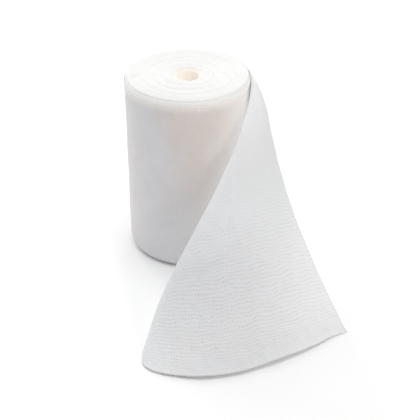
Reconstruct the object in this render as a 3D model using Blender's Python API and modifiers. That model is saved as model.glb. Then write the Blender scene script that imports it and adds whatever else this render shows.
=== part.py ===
"""A gauze bandage roll standing on its end, with its loose end drawn out and rolled over.

Metres, +Z up. The origin is the middle of the whole object's footprint, on the surface that it
stands on. The roll's axis is vertical, and the loose end leaves the roll's +X side towards -Y.
"""
import math

import bmesh
import bpy
import numpy as np

# ---- the wound roll ----
STRIP_WIDTH = 0.100          # the strip's width, which is the roll's height
ROLL_RADIUS = 0.033          # outside the outermost turn
CORE_RADIUS = 0.0060         # the open hole that the strip is wound round
RIM_ROUND = 0.0025           # soft rounding of the outer edges, top and bottom
MOUTH_ROUND = 0.0010         # soft rounding of the hole's edges
ROLL_AT = (-0.0242, 0.0445)  # the roll's axis in the object's frame
ROLL_SIDES = 96              # straight sides round the roll
ARC_STEPS = 3                # steps in each rounded edge

# ---- the loose end ----
SHEET = 0.0012                   # its thickness
GAP = 0.0003                     # between the two solids
TAIL_LENGTH = 0.136  # along the strip, from the roll to the cut end
CUT_WIDTH = 0.110  # the strip spreads a little where its tension is gone
LEAVE_ANGLE = math.radians(9.0)  # where the strip leaves the roll, measured from +X
RIBS = 61                        # sections along the strip, closer together near the roll
RIB_CROWDING = 1.6               # how much closer: 1 is evenly spaced
UPRIGHT_STEPS = 10               # steps across the strip below the turn
TURN_STEPS = 10                  # steps in the turn
RUN_STEPS = 14                   # steps from the turn to the upper edge
LEAST_STEP = 0.0001              # no step across the strip is shorter
FOOT_CLEAR = 0.00003             # keeps the lower edge's corners above the surface
FINE_STEPS = 400                 # steps in which each section is worked out

# How the loose end folds over. Every share runs from 0 at the roll to 1 at the cut end.
FOOT_HEADING = -80  # degrees from +X: the lower edge sets off to the front, and ends so
FOOT_SWING = 52  # degrees that it swings to the left on the way
SWING_LATE = 1.0  # over 1: the swing comes a little late
RIDGE_START = 0.105  # metres up the strip: the fold starts past the upper edge
RIDGE_END = -0.005  # at the cut end the whole strip lies over, lower edge and all
RIDGE_SAG = 0.002  # how far the ridge sags midway
TURN_TIGHT = 0.010  # metres of cloth that the fold takes by the roll
TURN_LOOSE = 0.020  # and further out, where nothing pulls on it
LOOSENS = (0.15, 0.50)           # shares between which it loosens
LIE = 90                         # degrees from upright that the folded part lies, on average
DROOP = 20                       # degrees that it starts above that and ends below it, midway
END_DROOP = 4  # the same at the cut end
TWIST = 35  # degrees that the folded part turns away from +X, a quarter along
SPREAD = 35  # degrees that its threads fan out to each side of that
BULGE = 20                       # degrees that the cut end bows outwards
SHORTEST_RUN = 0.005             # least length past the crest that the lean and bearing spread over

GAUZE = (0.86, 0.86, 0.87)
PART = "gauze_bandage_roll"


def clear_scene():
    for thing in list(bpy.data.objects):
        bpy.data.objects.remove(thing, do_unlink=True)


def make_collection(name):
    collection = bpy.data.collections.new(name)
    bpy.context.scene.collection.children.link(collection)
    return collection


def gauze_material(name, colour, roughness):
    material = bpy.data.materials.new(name)
    material.use_nodes = True
    shader = material.node_tree.nodes["Principled BSDF"]
    shader.inputs["Base Color"].default_value = (*colour, 1.0)
    shader.inputs["Roughness"].default_value = roughness
    shader.inputs["Metallic"].default_value = 0.0
    return material


def add_object(name, bm, material, collection):
    mesh = bpy.data.meshes.new(name)
    bm.to_mesh(mesh)
    bm.free()
    mesh.materials.append(material)
    mesh.shade_smooth()
    mesh.set_sharp_from_angle(angle=math.radians(50))
    thing = bpy.data.objects.new(name, mesh)
    thing.location = (*ROLL_AT, 0.0)
    collection.objects.link(thing)
    return thing


def smooth(x):
    x = np.clip(x, 0, 1)
    return x * x * (3 - 2 * x)


def rounded_profile():
    """Rings of the roll from the hole's lower edge round the outside to its upper edge.

    Each is (height, radius of the hole's ring or None, inset from the outer turn).
    """
    quarter = [math.radians(90 * k / ARC_STEPS) for k in range(ARC_STEPS + 1)]
    rings = [(MOUTH_ROUND, CORE_RADIUS, 0.0), (0.0, CORE_RADIUS + MOUTH_ROUND, 0.0)]
    for a in quarter:
        rings.append((RIM_ROUND * (1 - math.cos(a)), None, RIM_ROUND * (1 - math.sin(a))))
    for a in reversed(quarter):
        rings.append((STRIP_WIDTH - RIM_ROUND * (1 - math.cos(a)), None, RIM_ROUND * (1 - math.sin(a))))
    rings.append((STRIP_WIDTH, CORE_RADIUS + MOUTH_ROUND, 0.0))
    rings.append((STRIP_WIDTH - MOUTH_ROUND, CORE_RADIUS, 0.0))
    return rings


def turn_radius(part_turned):
    """The outer turn's radius, which grows by one thickness of strip in one turn."""
    return ROLL_RADIUS - (SHEET + GAP) * (1 - part_turned)


def make_roll(material, collection):
    """The wound form: a spiral outline with the step where the strip leaves, and an open core."""
    bm = bmesh.new()
    rings = []
    for height, hole, inset in rounded_profile():
        ring = []
        for k in range(ROLL_SIDES + 1):
            angle = LEAVE_ANGLE - 2 * math.pi * k / ROLL_SIDES
            radius = hole if hole else turn_radius(k / ROLL_SIDES) - inset
            ring.append(bm.verts.new((radius * math.cos(angle), radius * math.sin(angle), height)))
        rings.append(ring)
    for low, high in zip(rings, rings[1:] + rings[:1]):
        for k in range(ROLL_SIDES + 1):
            n = (k + 1) % (ROLL_SIDES + 1)
            bm.faces.new((low[k], high[k], high[n], low[n]))
    bmesh.ops.remove_doubles(bm, verts=bm.verts, dist=1e-6)
    bmesh.ops.recalc_face_normals(bm, faces=bm.faces)
    return add_object("roll", bm, material, collection)


def heading(share):
    """The way the lower edge runs on, in degrees from +X."""
    return FOOT_HEADING - FOOT_SWING * np.sin(math.pi * share ** SWING_LATE)


def ridge(share):
    """How far up the strip it folds over: falling slowly at both ends and sagging midway."""
    fallen = (share + smooth(share)) / 2
    return RIDGE_START + (RIDGE_END - RIDGE_START) * fallen - RIDGE_SAG * np.sin(math.pi * share)


def turn_length(share):
    """The length of cloth that the fold takes."""
    first, last = LOOSENS
    return TURN_TIGHT + (TURN_LOOSE - TURN_TIGHT) * smooth((share - first) / (last - first))


def lie(share, out):
    """Degrees from upright at any part of the way out from the ridge to the upper edge."""
    return LIE + (DROOP * np.sin(math.pi * share) + END_DROOP * share) * (2 * out - 1)


def bearing(share, out):
    """Degrees from +X that a thread runs, at any part of the way out."""
    twist = TWIST * np.sin(math.pi * np.sqrt(share)) ** 2
    return twist + SPREAD * (2 * out - 1) + BULGE * share * 4 * out * (1 - out)


def shares_along():
    """Where the sections stand, as shares of the loose end's length."""
    return np.linspace(0, 1, RIBS) ** RIB_CROWDING


def foot_path(shares):
    """The lower edge's route over the surface, from the roll to the cut end's corner."""
    middle = ROLL_RADIUS - SHEET / 2
    x = middle * math.cos(LEAVE_ANGLE) + GAP * math.sin(LEAVE_ANGLE)
    y = middle * math.sin(LEAVE_ANGLE) - GAP * math.cos(LEAVE_ANGLE)
    path = [(x, y)]
    for near, far in zip(shares, shares[1:]):
        step = TAIL_LENGTH * (far - near)
        way = math.radians(heading((near + far) / 2))
        x += step * math.cos(way)
        y += step * math.sin(way)
        path.append((x, y))
    return path


def stations(width, crest, turn):
    """Heights up the thread of a section's points, so that one line of points follows the turn."""
    last = UPRIGHT_STEPS + TURN_STEPS + RUN_STEPS
    marks = [0, UPRIGHT_STEPS, UPRIGHT_STEPS + TURN_STEPS, last]
    heights = [0.0]
    for mark, wanted in zip(marks[1:3], (crest - turn / 2, crest + turn / 2)):
        heights.append(min(max(wanted, mark * LEAST_STEP), width - (last - mark) * LEAST_STEP))
    heights.append(width)
    return np.interp(np.arange(last + 1), marks, heights)


def rib(along, foot):
    """One thread across the strip, as points from the lower edge to the upper edge."""
    width = STRIP_WIDTH + (CUT_WIDTH - STRIP_WIDTH) * along ** 2
    crest = ridge(along)
    turn = turn_length(along)
    ends = np.linspace(0, width, FINE_STEPS + 1)
    up = (ends[1:] + ends[:-1]) / 2
    turned = smooth((up - crest) / turn + 0.5)
    out = np.clip((up - crest) / max(width - crest, SHORTEST_RUN), 0, 1)
    lean = np.radians(turned * lie(along, out))
    bear = np.radians(bearing(along, out))
    across = (np.sin(lean) * np.cos(bear), np.sin(lean) * np.sin(bear), np.cos(lean))
    start = (*foot, SHEET / 2 * math.sin(lean[0]) + FOOT_CLEAR)
    picked = stations(width, crest, turn)
    axes = []
    for origin, share in zip(start, across):
        line = origin + np.concatenate(([0.0], np.cumsum(share))) * width / FINE_STEPS
        axes.append(np.interp(picked, ends, line))
    return list(zip(*axes))


def make_tail(material, collection):
    """The loose end: one sheet through all the sections, given its thickness."""
    bm = bmesh.new()
    shares = shares_along()
    rows = []
    for share, foot in zip(shares, foot_path(shares)):
        rows.append([bm.verts.new(p) for p in rib(share, foot)])
    for near, far in zip(rows, rows[1:]):
        for a, b, c, d in zip(near, far, far[1:], near[1:]):
            bm.faces.new((a, b, c, d))
    tail = add_object("tail", bm, material, collection)
    thick = tail.modifiers.new("thickness", "SOLIDIFY")
    thick.thickness = SHEET
    thick.offset = 0.0
    thick.use_even_offset = True
    return tail


def main():
    clear_scene()
    collection = make_collection(PART)
    make_roll(gauze_material("roll", GAUZE, 0.9), collection)
    make_tail(gauze_material("tail", GAUZE, 0.9), collection)


main()
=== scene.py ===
"""The looks of a gauze bandage roll: one strip of open-weave gauze wound into a roll that stands
on its end, with its loose end drawn out, rolled over along a diagonal and fanned out."""
import math

import bpy
import numpy as np
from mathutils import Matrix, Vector


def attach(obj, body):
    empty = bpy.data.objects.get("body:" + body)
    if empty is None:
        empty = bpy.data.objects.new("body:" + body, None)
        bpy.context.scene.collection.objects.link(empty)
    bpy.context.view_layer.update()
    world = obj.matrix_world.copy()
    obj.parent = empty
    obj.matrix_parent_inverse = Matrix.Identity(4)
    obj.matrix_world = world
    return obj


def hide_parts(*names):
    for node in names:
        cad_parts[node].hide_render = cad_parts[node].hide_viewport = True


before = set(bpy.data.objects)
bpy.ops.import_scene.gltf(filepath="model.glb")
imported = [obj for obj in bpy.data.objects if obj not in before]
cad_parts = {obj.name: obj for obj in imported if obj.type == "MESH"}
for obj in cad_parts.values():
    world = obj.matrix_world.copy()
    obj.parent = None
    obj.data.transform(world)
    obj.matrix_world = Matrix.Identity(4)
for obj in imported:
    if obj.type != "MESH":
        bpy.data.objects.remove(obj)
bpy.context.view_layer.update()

# ---- sizes, in metres and degrees, as in the part's source ----
STRIP_WIDTH = 0.100
ROLL_RADIUS = 0.033
CORE_RADIUS = 0.0060
ROLL_AT = (-0.0242, 0.0445)
SHEET = 0.0012                   # the solid's thickness: the gauze lies in its middle
GAP = 0.0003
TAIL_LENGTH = 0.136
CUT_WIDTH = 0.110
LEAVE_ANGLE = math.radians(9.0)
SHORTEST_RUN = 0.005

# How the loose end folds over. Every share runs from 0 at the roll to 1 at the cut end.
FOOT_HEADING = -80               # degrees from +X: the lower edge sets off to the front, and ends so
FOOT_SWING = 52                  # degrees that it swings to the left on the way
SWING_LATE = 1.0                 # 1: the swing is widest midway; over 1, later
RIDGE_START = 0.105              # metres up the strip: the fold starts past the upper edge
RIDGE_END = -0.005               # at the cut end the whole strip lies over, lower edge and all
RIDGE_SAG = 0.002                # how far the ridge sags midway
TURN_TIGHT = 0.010               # metres of cloth that the fold takes by the roll
TURN_LOOSE = 0.020               # and further out, where nothing pulls on it
LOOSENS = (0.15, 0.50)           # shares between which it loosens
LIE = 90                         # degrees from upright that the folded part lies, on average
DROOP = 20                       # degrees that it starts above that and ends below it, midway
END_DROOP = 4                    # the same at the cut end
TWIST = 35                       # degrees that the folded part turns away from +X, a quarter along
SPREAD = 35                      # degrees that its threads fan out to each side of that
BULGE = 20                       # degrees that the cut end bows outwards

# ---- the gauze ----
PLY = 0.0005                     # how thick one layer shows
WEFT = 0.0015                    # from one thread across the strip to the next
WARP = 0.0012                    # from one thread along the strip to the next
TURNS = 39.725                   # turns inside the outer one
TURN_SIDES = 96                  # straight sides in a turn
CLOTH_ROWS = 200                 # along the loose end
LEAST_STEP = 0.0001
ACROSS = (46, 36, 76)            # steps across the loose end: upright, in the turn, past it
FINE_STEPS = 600
LAP = 0.004                      # share of the loose end tucked into the outer turn's end
TOP_FALL = 0.0017                # how far the outermost turns lie below the end face
FOOT_FALL = 0.0034               # and above the floor
DIMPLE = 0.0013                  # how far the end face dips at the core
FLARE_HEIGHT = 0.012             # the outer turn's upper edge flares a little over this height
TUCK = 0.0022                    # how far its lower edge tucks in
TUCK_HEIGHT = 0.0042
CORNER = 0.006                   # how round the cut end's lower corner is
TIP_HOLLOW = 0.0013              # how far the cut end is hollow beside its far tip
CUT_PUSH = 0.0014                # how far the middle of its lower half bulges forward

# the soft crease beside the ridge: from and to (along, across) the flat strip, and how deep
CREASES = (
    ((0.051, 0.069), (0.0875, 0.0565), 0.0009),
    ((0.0875, 0.0565), (0.095, 0.033), 0.0014),
)
CREASE_WIDTH = 0.0018

OUTER = ROLL_RADIUS - SHEET / 2 + PLY / 2    # outside of the outer turn where it leaves
SHOULDER = 0.0310                # radius where the end face starts to fall off
LIP = 0.0026                     # how far the outer turn's edge lies below the end face
STEP_UP = 0.16                   # share of a turn in which a turn climbs over its own start
LAST_TURN = ROLL_RADIUS - 1.6 * PLY          # where the inner turns go over into the outer one
PITCH = (LAST_TURN - CORE_RADIUS) / TURNS    # from one turn of the roll to the next

# ---- painted light and shade, and tones, laid over the gauze ----
CORE_TONE = (1.0, 0.92, 0.82, 1.0)           # light that has come through many turns
PAINTED_FRONT_SHADE = (0.91, 0.868, 0.847, 1.0)       # painted shade: the wall's upper front, darker and warmer
PAINTED_LEFT_LIGHT = (0.925, 0.955, 0.995, 1.0)       # painted light: to the left and below, lighter and cooler
# painted light: lighter and cooler still at the far left
PAINTED_FAR_LEFT_LIGHT = (0.965, 0.985, 1.0, 1.0)
PAINTED_NIP_LIGHT = (0.98, 0.955, 0.93, 1.0)       # painted light: pale where the strip lifts off, in place of light through the loose end
# painted shade: darker towards the foot
PAINTED_FOOT_SHADE = (0.91, 0.915, 0.94, 1.0)
# painted highlight: paler along the wall's upper edge
PAINTED_EDGE_HIGHLIGHT = (0.96, 0.93, 0.89, 1.0)
LEAVING_TONE = (0.965, 0.968, 0.975, 1.0)    # like the loose end, where the strip leaves
PAINTED_FANNED_SHADE = (0.915, 0.915, 0.925, 1.0)    # painted shade: the middle of the fanned part, a little greyer

# ---- studio ----
FLOOR_HALF = 4.0
LENS = 85.7                      # millimetres, on a sensor 36 mm wide
CAMERA_FROM_ROLL = (0.0149, -0.4757, 0.316)
CAMERA_DOWN = 0.562              # radians below the horizon
CAMERA_ROLL = 0.007
LAMPS_AIM = (0, 0, 0.04)
WORLD_LIGHT = 0.475


# ---- small tools ----
def waves(seed, count, longest, shortest, dims=2):
    """A smooth uneven field: a sum of waves of seeded directions and phases, about -1 to 1."""
    rng = np.random.default_rng(seed)
    sizes = np.exp(rng.uniform(math.log(shortest), math.log(longest), count))
    turns = rng.normal(size=(count, dims))
    turns /= np.linalg.norm(turns, axis=1)[:, None]
    phases = rng.uniform(0, 2 * math.pi, count)
    loud = (sizes / longest) ** 0.6
    loud /= math.sqrt((loud ** 2).sum() / 2) * 2

    def field(*places):
        total = 0.0
        for k in range(count):
            along = sum(t * p for t, p in zip(turns[k], places))
            total = total + loud[k] * np.sin(2 * math.pi * along / sizes[k] + phases[k])
        return total
    return field


def smooth(x):
    x = np.clip(x, 0, 1)
    return x * x * (3 - 2 * x)


def add_mesh(name, points, quads, flat, material):
    """A mesh from a list of points, quads and one flat-cloth coordinate (in cm) for each point."""
    mesh = bpy.data.meshes.new(name)
    mesh.from_pydata([tuple(p) for p in points], [], [tuple(q) for q in quads])
    layer = mesh.uv_layers.new(name="flat")
    index = np.zeros(len(mesh.loops), np.int32)
    mesh.loops.foreach_get("vertex_index", index)
    layer.data.foreach_set("uv", np.asarray(flat, np.float32)[index].ravel())
    mesh.materials.append(material)
    mesh.shade_smooth()
    thing = bpy.data.objects.new(name, mesh)
    bpy.context.scene.collection.objects.link(thing)
    return thing


def grid_quads(rows, cols, closed=False, start=0):
    """Quads of a grid of rows x cols points; closed joins the last column to the first."""
    quads = []
    last = cols if closed else cols - 1
    for r in range(rows - 1):
        for c in range(last):
            n = (c + 1) % cols
            a = start + r * cols
            quads.append((a + c, a + n, a + cols + n, a + cols + c))
    return quads


# ---- materials ----
class Nodes:
    """Short hand for building a material's nodes."""

    def __init__(self, name):
        self.material = bpy.data.materials.new(name)
        self.material.use_nodes = True
        self.tree = self.material.node_tree
        self.shader = self.tree.nodes["Principled BSDF"]

    def add(self, kind, **settings):
        node = self.tree.nodes.new(kind)
        for key, value in settings.items():
            setattr(node, key, value)
        return node

    def plug(self, value, socket):
        if isinstance(value, bpy.types.NodeSocket):
            self.tree.links.new(value, socket)
        else:
            socket.default_value = value

    def math(self, operation, a, b=0.0, c=0.0, clamp=False):
        node = self.add("ShaderNodeMath", operation=operation, use_clamp=clamp)
        for value, socket in zip((a, b, c), node.inputs):
            self.plug(value, socket)
        return node.outputs[0]

    def ramp(self, value, low, high, to_low=0.0, to_high=1.0):
        node = self.add("ShaderNodeMapRange", interpolation_type="SMOOTHSTEP")
        self.plug(value, node.inputs["Value"])
        node.inputs["From Min"].default_value = low
        node.inputs["From Max"].default_value = high
        self.plug(to_low, node.inputs["To Min"])
        self.plug(to_high, node.inputs["To Max"])
        return node.outputs["Result"]

    def noise(self, vector, scale, detail=2.0, rough=0.5):
        node = self.add("ShaderNodeTexNoise")
        self.plug(vector, node.inputs["Vector"])
        node.inputs["Scale"].default_value = scale
        node.inputs["Detail"].default_value = detail
        node.inputs["Roughness"].default_value = rough
        return node.outputs["Fac"]

    def vector(self, x, y, z=0.0):
        node = self.add("ShaderNodeCombineXYZ")
        for value, socket in zip((x, y, z), node.inputs):
            self.plug(value, socket)
        return node.outputs[0]

    def mix(self, share, a, b, way="MIX"):
        node = self.add("ShaderNodeMix", data_type="RGBA", blend_type=way)
        self.plug(share, node.inputs["Factor"])
        self.plug(a, node.inputs["A"])
        self.plug(b, node.inputs["B"])
        return node.outputs["Result"]


def paint_wall_light_and_shade(n, colour, along, across):
    """Painted light and shade in the wall's colour by area: darker and warmer at the upper front,
    lighter and cooler to the left and below, painted light where the strip lifts off, painted
    shade towards the foot and a painted highlight along the upper edge."""
    below = n.math("SUBTRACT", 10.0, across)
    turned = n.math("MULTIPLY_ADD", below, 0.35, along)
    # painted light and shade across the wall: darker and warmer at the upper front, lighter and cooler
    # to the left and below
    tone = n.mix(n.ramp(turned, 6.3, 8.6), PAINTED_FRONT_SHADE, PAINTED_LEFT_LIGHT)
    tone = n.mix(n.ramp(along, 7.8, 9.6), tone, PAINTED_FAR_LEFT_LIGHT)
    colour = n.mix(1.0, colour, tone, "MULTIPLY")
    # painted light where the strip lifts off, in place of light through the loose end
    curve = n.math("POWER", n.math("MAXIMUM", below, 0.0), 1.65)
    nip_light = n.math("MULTIPLY_ADD", curve, -0.1, along)
    nip_light = n.math("MULTIPLY", n.ramp(nip_light, 1.3, 4.7, 1.0, 0.0),
                    n.ramp(across, 0.8, 4.0, 0.45, 1.0))
    colour = n.mix(nip_light, colour, PAINTED_NIP_LIGHT)
    # painted shade: darker and cooler towards the foot
    colour = n.mix(n.ramp(across, 0.0, 2.6, 0.6, 0.0), colour, PAINTED_FOOT_SHADE, "MULTIPLY")
    # painted highlight along the upper edge
    colour = n.mix(n.ramp(across, 9.2, 9.65, 0.0, 0.6), colour, PAINTED_EDGE_HIGHLIGHT)
    return n.mix(n.ramp(along, 15.5, 20.3), colour, LEAVING_TONE)


def gauze(name, thread, gap, warm, sheer, bump, contrast, through=0.0, painted_core_glow=False,
          on_wall=False, lines=(0.75, 0.30)):
    """Plain open weave drawn from the cloth's flat coordinates: uneven cotton threads both ways,
    one over and one under, with gaps between them that let some light through. The share of
    light that soaks through the threads is set by through."""
    n = Nodes(name)
    uv = n.add("ShaderNodeUVMap", uv_map="flat")
    apart = n.add("ShaderNodeSeparateXYZ")
    n.plug(uv.outputs["UV"], apart.inputs[0])
    along, across = apart.outputs["X"], apart.outputs["Y"]
    # the threads wander a little
    wander = n.noise(uv.outputs["UV"], 1.2, 3.0)
    drift_a = n.math("MULTIPLY", n.math("SUBTRACT", wander, 0.5), 0.36)
    moved = n.vector(n.math("ADD", across, 7.3), along)
    drift_b = n.math("MULTIPLY", n.math("SUBTRACT", n.noise(moved, 1.4, 3.0), 0.5), 0.36)
    line_a = n.math("DIVIDE", n.math("ADD", along, drift_a), WEFT * 100)
    line_b = n.math("DIVIDE", n.math("ADD", across, drift_b), WARP * 100)
    # thick and thin places along each thread
    place_a = n.vector(n.math("MULTIPLY", along, 6.0), n.math("MULTIPLY", across, 0.9))
    place_b = n.vector(n.math("MULTIPLY", along, 0.9), n.math("MULTIPLY", across, 6.0), 3.0)
    slub_a = n.noise(place_a, 1.0, 3.0, 0.6)
    slub_b = n.noise(place_b, 1.0, 3.0, 0.6)
    fray = n.noise(uv.outputs["UV"], 2.6, 3.0, 0.6)
    threads = []
    for line, slub, thick in ((line_a, slub_a, 0.05), (line_b, slub_b, 0.12)):
        wave = n.math("COSINE", n.math("MULTIPLY", line, 2 * math.pi))
        wide = n.math("ADD", n.math("MULTIPLY_ADD", wave, 0.5, 0.5),
                      n.math("MULTIPLY_ADD", slub, 1.1, thick - 0.55))
        threads.append(n.ramp(wide, 0.10, 0.75))
    weft, warp = threads
    over = n.math(
        "MULTIPLY",
        n.math("COSINE", n.math("MULTIPLY", line_a, math.pi)),
        n.math("COSINE", n.math("MULTIPLY", line_b, math.pi)),
    )
    high_a = n.math("MULTIPLY", weft, n.math("MULTIPLY_ADD", over, 0.3, 0.7))
    high_b = n.math("MULTIPLY", warp, n.math("MULTIPLY_ADD", over, -0.3, 0.7))
    height = n.math("MAXIMUM", high_a, high_b)
    open_a = n.math("SUBTRACT", 1.0, weft)
    open_b = n.math("SUBTRACT", 1.0, warp)
    hole = n.math("MULTIPLY", n.math("MULTIPLY", open_a, open_b),
                  n.ramp(fray, 0.35, 0.65, 0.3, 0.9))
    # patches where the cloth is denser or thinner
    patch = n.ramp(n.noise(uv.outputs["UV"], 0.55, 3.0, 0.55), 0.3, 0.7)
    # the threads across the strip show as lines, more in some patches than in others
    shows = n.ramp(n.noise(uv.outputs["UV"], 0.9, 4.0, 0.65), 0.36, 0.64, 0.12, 1.0)
    drawn = n.math("MULTIPLY_ADD", open_b, lines[1], n.math("MULTIPLY", open_a, lines[0]))
    drawn = n.math("MULTIPLY", n.math("MULTIPLY_ADD", hole, 0.25, drawn), shows)
    light = n.math("MULTIPLY_ADD", drawn, -contrast, 1.0)
    light = n.math("MULTIPLY", light, n.math("MULTIPLY_ADD", patch, 0.04, 0.96), clamp=True)
    colour = n.mix(light, (*gap, 1.0), (*thread, 1.0))
    tint = n.noise(uv.outputs["UV"], 0.35, 1.0)
    colour = n.mix(n.ramp(tint, 0.35, 0.65, 0.0, 0.35), colour, (*warm, 1.0))
    if painted_core_glow:
        place = n.add("ShaderNodeTexCoord")
        spot = n.add("ShaderNodeSeparateXYZ")
        n.plug(place.outputs["Object"], spot.inputs[0])
        dx = n.math("SUBTRACT", spot.outputs["X"], ROLL_AT[0])
        dy = n.math("SUBTRACT", spot.outputs["Y"], ROLL_AT[1])
        square = n.math("ADD", n.math("MULTIPLY", dx, dx), n.math("MULTIPLY", dy, dy))
        reach = n.math("SQRT", square)
        # painted glow: lighter and warmer towards the core, for light that has come through many turns
        colour = n.mix(n.ramp(reach, CORE_RADIUS * 0.95, CORE_RADIUS + 0.0034, 0.7, 0.0), colour,
                       CORE_TONE)
    if on_wall:
        # painted light and shade on the wall
        colour = paint_wall_light_and_shade(n, colour, along, across)
    # painted shade: the middle of the fanned loose end drawn greyer
    if through:
        middle = n.math("MULTIPLY", n.ramp(across, 0.0, 4.5, 0.4, 1.0),
                        n.ramp(across, 5.5, 10.0, 1.0, 0.0))
        middle = n.math("MULTIPLY", middle, n.ramp(along, 6.5, 10.5))
        colour = n.mix(middle, colour, PAINTED_FANNED_SHADE, "MULTIPLY")
    n.plug(colour, n.shader.inputs["Base Color"])
    n.plug(n.ramp(height, 0.0, 1.0, 0.97, 0.86), n.shader.inputs["Roughness"])
    n.shader.inputs["Specular IOR Level"].default_value = 0.15
    n.shader.inputs["Sheen Weight"].default_value = 0.12
    n.shader.inputs["Sheen Roughness"].default_value = 0.6
    if sheer:
        clear = n.math("MULTIPLY", n.ramp(along, 5.0, 12.0, sheer, sheer * 0.5),
                       n.ramp(along, 0.0, 3.0))
        solid = n.math("SUBTRACT", 1.0, n.math("MULTIPLY", hole, clear), clamp=True)
        n.plug(solid, n.shader.inputs["Alpha"])
    fuzz = n.noise(uv.outputs["UV"], 45.0, 2.0, 0.7)
    relief = n.math("MULTIPLY_ADD", fuzz, 0.25, height)
    node = n.add("ShaderNodeBump")
    node.inputs["Strength"].default_value = bump
    node.inputs["Distance"].default_value = 0.0004
    n.plug(relief, node.inputs["Height"])
    n.plug(node.outputs["Normal"], n.shader.inputs["Normal"])
    if through:
        glow = n.add("ShaderNodeBsdfTranslucent")
        n.plug(colour, glow.inputs["Color"])
        both = n.add("ShaderNodeMixShader")
        soaks = n.math("MULTIPLY", n.ramp(along, 5.0, 12.0, through, through * 0.25),
                       n.ramp(along, 0.0, 2.2, 0.1, 1.0))
        n.plug(soaks, both.inputs["Fac"])
        n.plug(n.shader.outputs[0], both.inputs[1])
        n.plug(glow.outputs[0], both.inputs[2])
        n.plug(both.outputs[0], n.tree.nodes["Material Output"].inputs["Surface"])
    return n.material


# ---- the wound roll ----
def front_share(angle):
    """How far the roll's upper edge is pulled down: most at the front, little at the back."""
    return 0.3 + 0.7 * smooth((0.6 - np.sin(angle)) / 1.3)


def make_turns(material):
    """All the turns but the outer one: one strip in a spiral, its edges making the end faces."""
    count = int(TURNS * TURN_SIDES)
    k = np.arange(count + 1)
    turned = k / TURN_SIDES
    angle = LEAVE_ANGLE - 2 * math.pi * (turned - TURNS)
    wobble = waves(11, 24, 3.0, 0.15)
    uneven = waves(12, 40, 9.0, 0.35)
    # the last turns grow rounder, until the last one fits close inside the outer turn
    share = (turned - TURNS) % 1.0
    rounder = smooth((turned - TURNS + 12) / 11)
    radius = CORE_RADIUS + PITCH * (turned + (smooth(share / STEP_UP) - share) * rounder)
    calm = smooth((radius - CORE_RADIUS) / 0.002) * smooth((ROLL_RADIUS - 0.0015 - radius) / 0.002)
    x, y = np.cos(angle), np.sin(angle)
    radius = radius + 0.00012 * wobble(3 * x, 3 * y + turned * 0.15) * calm
    half = PITCH * 0.485
    lift = np.minimum(0.00010 * uneven(turned * 1.0, 2.2 * x + 1.3 * y) - 0.00005, 0)
    edge = 0.00010

    def top(shift):
        """The upper edge of a turn: it rounds off outwards and dips towards the core."""
        r = radius + shift
        outwards = smooth((r - SHOULDER) / (ROLL_RADIUS - 1.2 * PLY - SHOULDER))
        fall = TOP_FALL * outwards ** 1.3 * front_share(angle)
        dimple = DIMPLE * smooth(1 - (r - CORE_RADIUS) / 0.0040) ** 1.3
        return STRIP_WIDTH + lift - fall - dimple

    def foot(shift):
        """The lower edge of a turn, which rounds off outwards too."""
        r = radius + shift
        outwards = smooth((r - SHOULDER + 0.0015) / (ROLL_RADIUS - PLY - SHOULDER + 0.0015))
        fall = FOOT_FALL * outwards ** 1.5
        return -lift + fall + 0.0006 * smooth(1 - (r - CORE_RADIUS) / 0.003)

    section = [(shift, foot(shift) + rise) for shift, rise in
               ((-half, edge), (-half * 0.45, edge * 0.15), (half * 0.45, edge * 0.15), (half, edge))]
    section += [(shift, top(shift) - drop) for shift, drop in
                ((half, edge), (half * 0.45, edge * 0.15), (-half * 0.45, edge * 0.15), (-half, edge))]
    points = []
    flat = []
    run = np.cumsum(radius) * 2 * math.pi / TURN_SIDES * 100
    for shift, z in section:
        r = radius + shift
        points.append(np.stack([r * x, r * y, np.broadcast_to(z, r.shape)], -1))
        flat.append(np.stack([run, z * 100 + shift * 100], -1))
    points = np.stack(points, 1).reshape(-1, 3)
    flat = np.stack(flat, 1).reshape(-1, 2)
    points[:, 0] += ROLL_AT[0]
    points[:, 1] += ROLL_AT[1]
    ring = len(section)
    quads = grid_quads(count + 1, ring, closed=True)
    quads += [tuple(range(ring))[::-1], tuple(range(count * ring, (count + 1) * ring))]
    return add_mesh("wound_turns", points, quads, flat, material)


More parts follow.
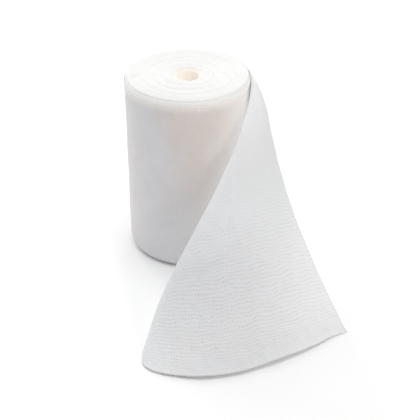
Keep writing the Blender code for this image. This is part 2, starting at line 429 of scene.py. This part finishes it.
def make_outer_turn(material):
    """The outer turn, a fine sheet that shows the wall's small dents and its own upper edge."""
    sides, rows = 260, 70
    share = np.linspace(-0.012, 1.0, sides + 1)[:, None]
    up = np.linspace(0, 1, rows + 1)[None, :]
    angle = LEAVE_ANGLE - 2 * math.pi * share
    grown = ROLL_RADIUS - PLY / 2 - 1.1 * PLY * (1 - smooth(share / STEP_UP))
    middle = grown + (OUTER - ROLL_RADIUS) * smooth((share - 0.86) / 0.14)
    dents = waves(21, 26, 0.07, 0.012)
    wavy = waves(22, 12, 0.09, 0.02, dims=1)
    around = share * 2 * math.pi * ROLL_RADIUS
    leaving = smooth((share - 0.80) / 0.2)
    edge = STRIP_WIDTH - LIP * front_share(angle) * (1 - leaving)
    edge = edge + 0.00022 * wavy(around) * (1 - leaving)
    foot = 0.00025 + 0.00015 * wavy(around + 0.3) * (1 - leaving) - 0.0002 * leaving
    z = foot + (edge - foot) * up
    ends = smooth(share / 0.05) * smooth((1 - share) / 0.05)
    radius = middle + 0.00016 * dents(around + 0 * up, z + 0 * share) * ends
    flare = smooth((z - (edge - FLARE_HEIGHT)) / FLARE_HEIGHT) ** 2
    left = np.exp(-((share - 0.52) / 0.10) ** 2)
    radius = radius + flare * (0.00004 + 0.00016 * left) * (1 - leaving) * smooth(share / 0.05)
    tuck = smooth(1 - (z - foot) / TUCK_HEIGHT)
    radius = radius - TUCK * tuck ** 2 * (1 - 0.85 * leaving)
    flat = np.stack([around * 100 + 0 * up, z * 100 + 0 * share], -1).reshape(-1, 2)
    x = radius * np.cos(angle) + ROLL_AT[0]
    y = radius * np.sin(angle) + ROLL_AT[1]
    points = np.stack([x, y, z + 0 * share], -1).reshape(-1, 3)
    turn = add_mesh("outer_turn", points, grid_quads(sides + 1, rows + 1), flat, material)
    thicken(turn)
    return turn


def thicken(thing):
    """Gives a sheet the thickness of one layer of gauze."""
    thick = thing.modifiers.new("thickness", "SOLIDIFY")
    thick.thickness = PLY
    thick.offset = 0.0
    thick.use_even_offset = False


# ---- the loose end ----
def heading(share):
    """The way the lower edge runs on, in degrees from +X."""
    return FOOT_HEADING - FOOT_SWING * np.sin(math.pi * share ** SWING_LATE)


def ridge(share):
    """How far up the strip it folds over: falling slowly at both ends and sagging midway."""
    fallen = (share + smooth(share)) / 2
    return RIDGE_START + (RIDGE_END - RIDGE_START) * fallen - RIDGE_SAG * np.sin(math.pi * share)


def turn_length(share):
    """The length of cloth that the fold takes."""
    first, last = LOOSENS
    return TURN_TIGHT + (TURN_LOOSE - TURN_TIGHT) * smooth((share - first) / (last - first))


def lie(share, out):
    """Degrees from upright at any part of the way out from the ridge to the upper edge."""
    return LIE + (DROOP * np.sin(math.pi * share) + END_DROOP * share) * (2 * out - 1)


def bearing(share, out):
    """Degrees from +X that a thread runs, at any part of the way out."""
    twist = TWIST * np.sin(math.pi * np.sqrt(share)) ** 2
    return twist + SPREAD * (2 * out - 1) + BULGE * share * 4 * out * (1 - out)


def foot_path(shares):
    """The lower edge's route over the surface, from the roll to the cut end's corner."""
    middle = ROLL_RADIUS - SHEET / 2
    x = middle * math.cos(LEAVE_ANGLE) + GAP * math.sin(LEAVE_ANGLE)
    y = middle * math.sin(LEAVE_ANGLE) - GAP * math.cos(LEAVE_ANGLE)
    fine = np.linspace(0, 1, FINE_STEPS + 1)
    way = np.radians(heading((fine[1:] + fine[:-1]) / 2))
    step = TAIL_LENGTH / FINE_STEPS
    xs = x + np.concatenate(([0.0], np.cumsum(step * np.cos(way))))
    ys = y + np.concatenate(([0.0], np.cumsum(step * np.sin(way))))
    first = math.radians(heading(0.0))
    before = np.minimum(shares, 0) * TAIL_LENGTH
    return (np.interp(shares, fine, xs) + before * math.cos(first),
            np.interp(shares, fine, ys) + before * math.sin(first))


def stations(width, crest, turn):
    """Heights up the thread of a section's points, so that one line of points follows the turn."""
    below, within, beyond = ACROSS
    last = below + within + beyond
    marks = [0, below, below + within, last]
    heights = [0.0]
    for mark, wanted in zip(marks[1:3], (crest - turn * 0.6, crest + turn * 0.6)):
        heights.append(min(max(wanted, mark * LEAST_STEP), width - (last - mark) * LEAST_STEP))
    heights.append(width)
    return np.interp(np.arange(last + 1), marks, heights)


def rib(along, foot):
    """One thread across the strip: its points, and how far up the thread each one is."""
    share = max(along, 0.0)
    width = STRIP_WIDTH + (CUT_WIDTH - STRIP_WIDTH) * share ** 2
    crest = ridge(share)
    turn = turn_length(share)
    ends = np.linspace(0, width, FINE_STEPS + 1)
    up = (ends[1:] + ends[:-1]) / 2
    turned = smooth((up - crest) / turn + 0.5)
    out = np.clip((up - crest) / max(width - crest, SHORTEST_RUN), 0, 1)
    lean = np.radians(turned * lie(share, out))
    bear = np.radians(bearing(share, out))
    across = (np.sin(lean) * np.cos(bear), np.sin(lean) * np.sin(bear), np.cos(lean))
    start = (*foot, PLY / 2 * math.sin(lean[0]) + 0.0001)
    picked = stations(width, crest, turn)
    axes = []
    for origin, part in zip(start, across):
        line = origin + np.concatenate(([0.0], np.cumsum(part))) * width / FINE_STEPS
        axes.append(np.interp(picked, ends, line))
    return np.stack(axes, -1), picked


def trim_cut(p, w, s):
    """Pulls the cut end back a little: round at the lower corner, hollow beside the far tip."""
    last = w[-1]
    far = CUT_WIDTH - last
    uneven = waves(33, 18, 0.03, 0.004, dims=1)
    short = np.clip(CORNER - last, 0, CORNER)
    pull = CORNER - np.sqrt(CORNER ** 2 - short ** 2)
    pull = pull + TIP_HOLLOW * smooth((0.022 - far) / 0.012) * smooth((far - 0.0005) / 0.006)
    pull = pull + 0.00018 * (1 + uneven(last))
    back = s - pull[None, :] * smooth((s - (TAIL_LENGTH - 0.035)) / 0.035)
    at = np.interp(back, s[:, 0], np.arange(s.shape[0]))
    low = np.minimum(at.astype(int), s.shape[0] - 2)
    part = at - low
    cols = np.arange(s.shape[1])[None, :]
    mixed = p[low, cols] * (1 - part)[:, :, None] + p[low + 1, cols] * part[:, :, None]
    # the middle of the lower half bulges forward
    ahead = np.gradient(mixed, axis=0)
    ahead /= np.linalg.norm(ahead, axis=2)[:, :, None]
    push = CUT_PUSH * np.exp(-((last - 0.034) / 0.024) ** 2)
    ahead *= (push[None, :] * smooth((s - (TAIL_LENGTH - 0.03)) / 0.03))[:, :, None]
    mixed = mixed + ahead
    return mixed, w[low, cols] * (1 - part) + w[low + 1, cols] * part, back


def troughs(s, w):
    """How deep the soft creases lie at each place of the flat strip."""
    total = 0.0
    for (s0, w0), (s1, w1), depth in CREASES:
        long = (s1 - s0) ** 2 + (w1 - w0) ** 2
        share = ((s - s0) * (s1 - s0) + (w - w0) * (w1 - w0)) / long
        inside = np.clip(share, 0, 1)
        away = np.hypot(s - s0 - inside * (s1 - s0), w - w0 - inside * (w1 - w0))
        ends = 0.35 + 0.65 * smooth(inside / 0.25) * smooth((1 - inside) / 0.25)
        total = total + depth * ends * np.exp(-(away / CREASE_WIDTH) ** 2)
    return total


def make_tail(material):
    """The loose end: one fine sheet through all the sections, with its small unevenness."""
    shares = np.linspace(-LAP, 1, CLOTH_ROWS + 1)
    xs, ys = foot_path(shares)
    rows = []
    heights = []
    for share, x, y in zip(shares, xs, ys):
        points, up = rib(share, (x, y))
        rows.append(points)
        heights.append(up)
    p = np.array(rows)
    w = np.array(heights)
    s = np.broadcast_to(shares[:, None] * TAIL_LENGTH, w.shape)
    p, w, s = trim_cut(p, w, s)
    normal = np.cross(np.gradient(p, axis=0), np.gradient(p, axis=1))
    normal /= np.linalg.norm(normal, axis=2)[:, :, None]
    ripple = waves(31, 30, 0.055, 0.014)
    crinkle = waves(32, 40, 0.012, 0.004)
    off_foot = smooth(w / 0.012)
    off_root = smooth(s / 0.02)
    from_ridge = np.abs(w - ridge(np.maximum(s, 0) / TAIL_LENGTH))
    off_ridge = 0.25 + 0.75 * smooth(from_ridge / 0.018)
    bulge = (0.00035 * ripple(s, w) + 0.00006 * crinkle(s, w)) * off_ridge
    # the cut end waves a little more than the rest
    near_cut = np.exp(-((TAIL_LENGTH - s) / 0.016) ** 2)
    bulge = bulge * (1 + 0.8 * near_cut)
    p = p + normal * (bulge * off_foot * off_root - troughs(s, w))[:, :, None]
    p[:, :, 2] = np.maximum(p[:, :, 2], 0.0001 + PLY / 2)
    p[:, :, 0] += ROLL_AT[0]
    p[:, :, 1] += ROLL_AT[1]
    flat = np.stack([s * 100, w * 100], -1).reshape(-1, 2)
    quads = grid_quads(p.shape[0], p.shape[1])
    tail = add_mesh("loose_end", p.reshape(-1, 3), quads, flat, material)
    thicken(tail)
    return tail


# ---- the object ----
# painted shade: the wall's gauze is the same cloth as the loose end's, drawn darker and warmer
wall_gauze = gauze(
    "wound_gauze_wall", thread=(0.82, 0.79, 0.78), gap=(0.64, 0.61, 0.60),
    warm=(0.82, 0.755, 0.72), sheer=0.0, bump=0.45, contrast=0.40, on_wall=True,
    lines=(0.50, 0.50),
)
edge_gauze = gauze(
    "wound_gauze_edges", thread=(0.87, 0.87, 0.86), gap=(0.78, 0.77, 0.75),
    warm=(0.87, 0.86, 0.84), sheer=0.0, bump=0.15, contrast=0.12, painted_core_glow=True,
)
tail_gauze = gauze(
    "loose_gauze", thread=(0.975, 0.98, 0.985), gap=(0.86, 0.868, 0.885),
    warm=(0.965, 0.965, 0.965), sheer=0.62, bump=0.50, contrast=0.16, through=0.9,
)

turns = make_turns(edge_gauze)
outer = make_outer_turn(wall_gauze)
tail = make_tail(tail_gauze)
for piece, node, slot in (
    (turns, "roll", "wound_gauze"),
    (outer, "roll", "wound_gauze"),
    (tail, "tail", "loose_gauze"),
):
    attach(piece, "root")
    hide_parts(node)

# ---- floor, camera and lights ----
floor_mesh = bpy.data.meshes.new("floor")
corners = [(x * FLOOR_HALF, y * FLOOR_HALF, 0) for x, y in ((-1, -1), (1, -1), (1, 1), (-1, 1))]
floor_mesh.from_pydata(corners, [], [(0, 1, 2, 3)])
floor = bpy.data.objects.new("floor", floor_mesh)
bpy.context.scene.collection.objects.link(floor)
paper = bpy.data.materials.new("pale_floor")
paper.use_nodes = True
matt = paper.node_tree.nodes["Principled BSDF"]
matt.inputs["Base Color"].default_value = (0.95, 0.95, 0.95, 1)
matt.inputs["Roughness"].default_value = 1.0
matt.inputs["Specular IOR Level"].default_value = 0.0
floor_mesh.materials.append(paper)

lens = bpy.data.cameras.new("camera")
lens.lens = LENS
lens.sensor_width = 36.0
lens.clip_start = 0.01
camera = bpy.data.objects.new("camera", lens)
right, back, up = CAMERA_FROM_ROLL
camera.location = (ROLL_AT[0] + right, ROLL_AT[1] + back, up)
camera.rotation_euler = (math.radians(90) - CAMERA_DOWN, 0.0, CAMERA_ROLL)
bpy.context.scene.collection.objects.link(camera)
bpy.context.scene.camera = camera


def lamp(name, place, aim, size, power, colour=(1, 1, 1)):
    """A round lamp at a place, turned to what it aims at."""
    data = bpy.data.lights.new(name, "AREA")
    data.shape = "DISK"
    data.size = size
    data.energy = power
    data.color = colour
    thing = bpy.data.objects.new(name, data)
    thing.location = place
    thing.rotation_euler = (Vector(place) - Vector(aim)).to_track_quat("Z", "Y").to_euler()
    bpy.context.scene.collection.objects.link(thing)


lamp("overhead", (0.05, -0.05, 1.20), LAMPS_AIM, 0.8, 5.2)
lamp("behind", (0.05, 1.00, 0.60), LAMPS_AIM, 0.6, 2.2)
lamp("behind_left", (-0.55, 1.05, 0.52), LAMPS_AIM, 0.5, 4.3)
lamp("left", (-0.90, 0.45, 0.60), LAMPS_AIM, 0.6, 2.1, (0.93, 0.97, 1.0))
lamp("right", (0.80, -0.60, 0.55), LAMPS_AIM, 0.6, 2.6, (1.0, 0.965, 0.93))

world = bpy.data.worlds.new("studio")
world.use_nodes = True
sky = world.node_tree.nodes["Background"]
sky.inputs["Color"].default_value = (1, 1, 1, 1)
sky.inputs["Strength"].default_value = WORLD_LIGHT
bpy.context.scene.world = world
bpy.context.scene.view_settings.view_transform = "Standard"
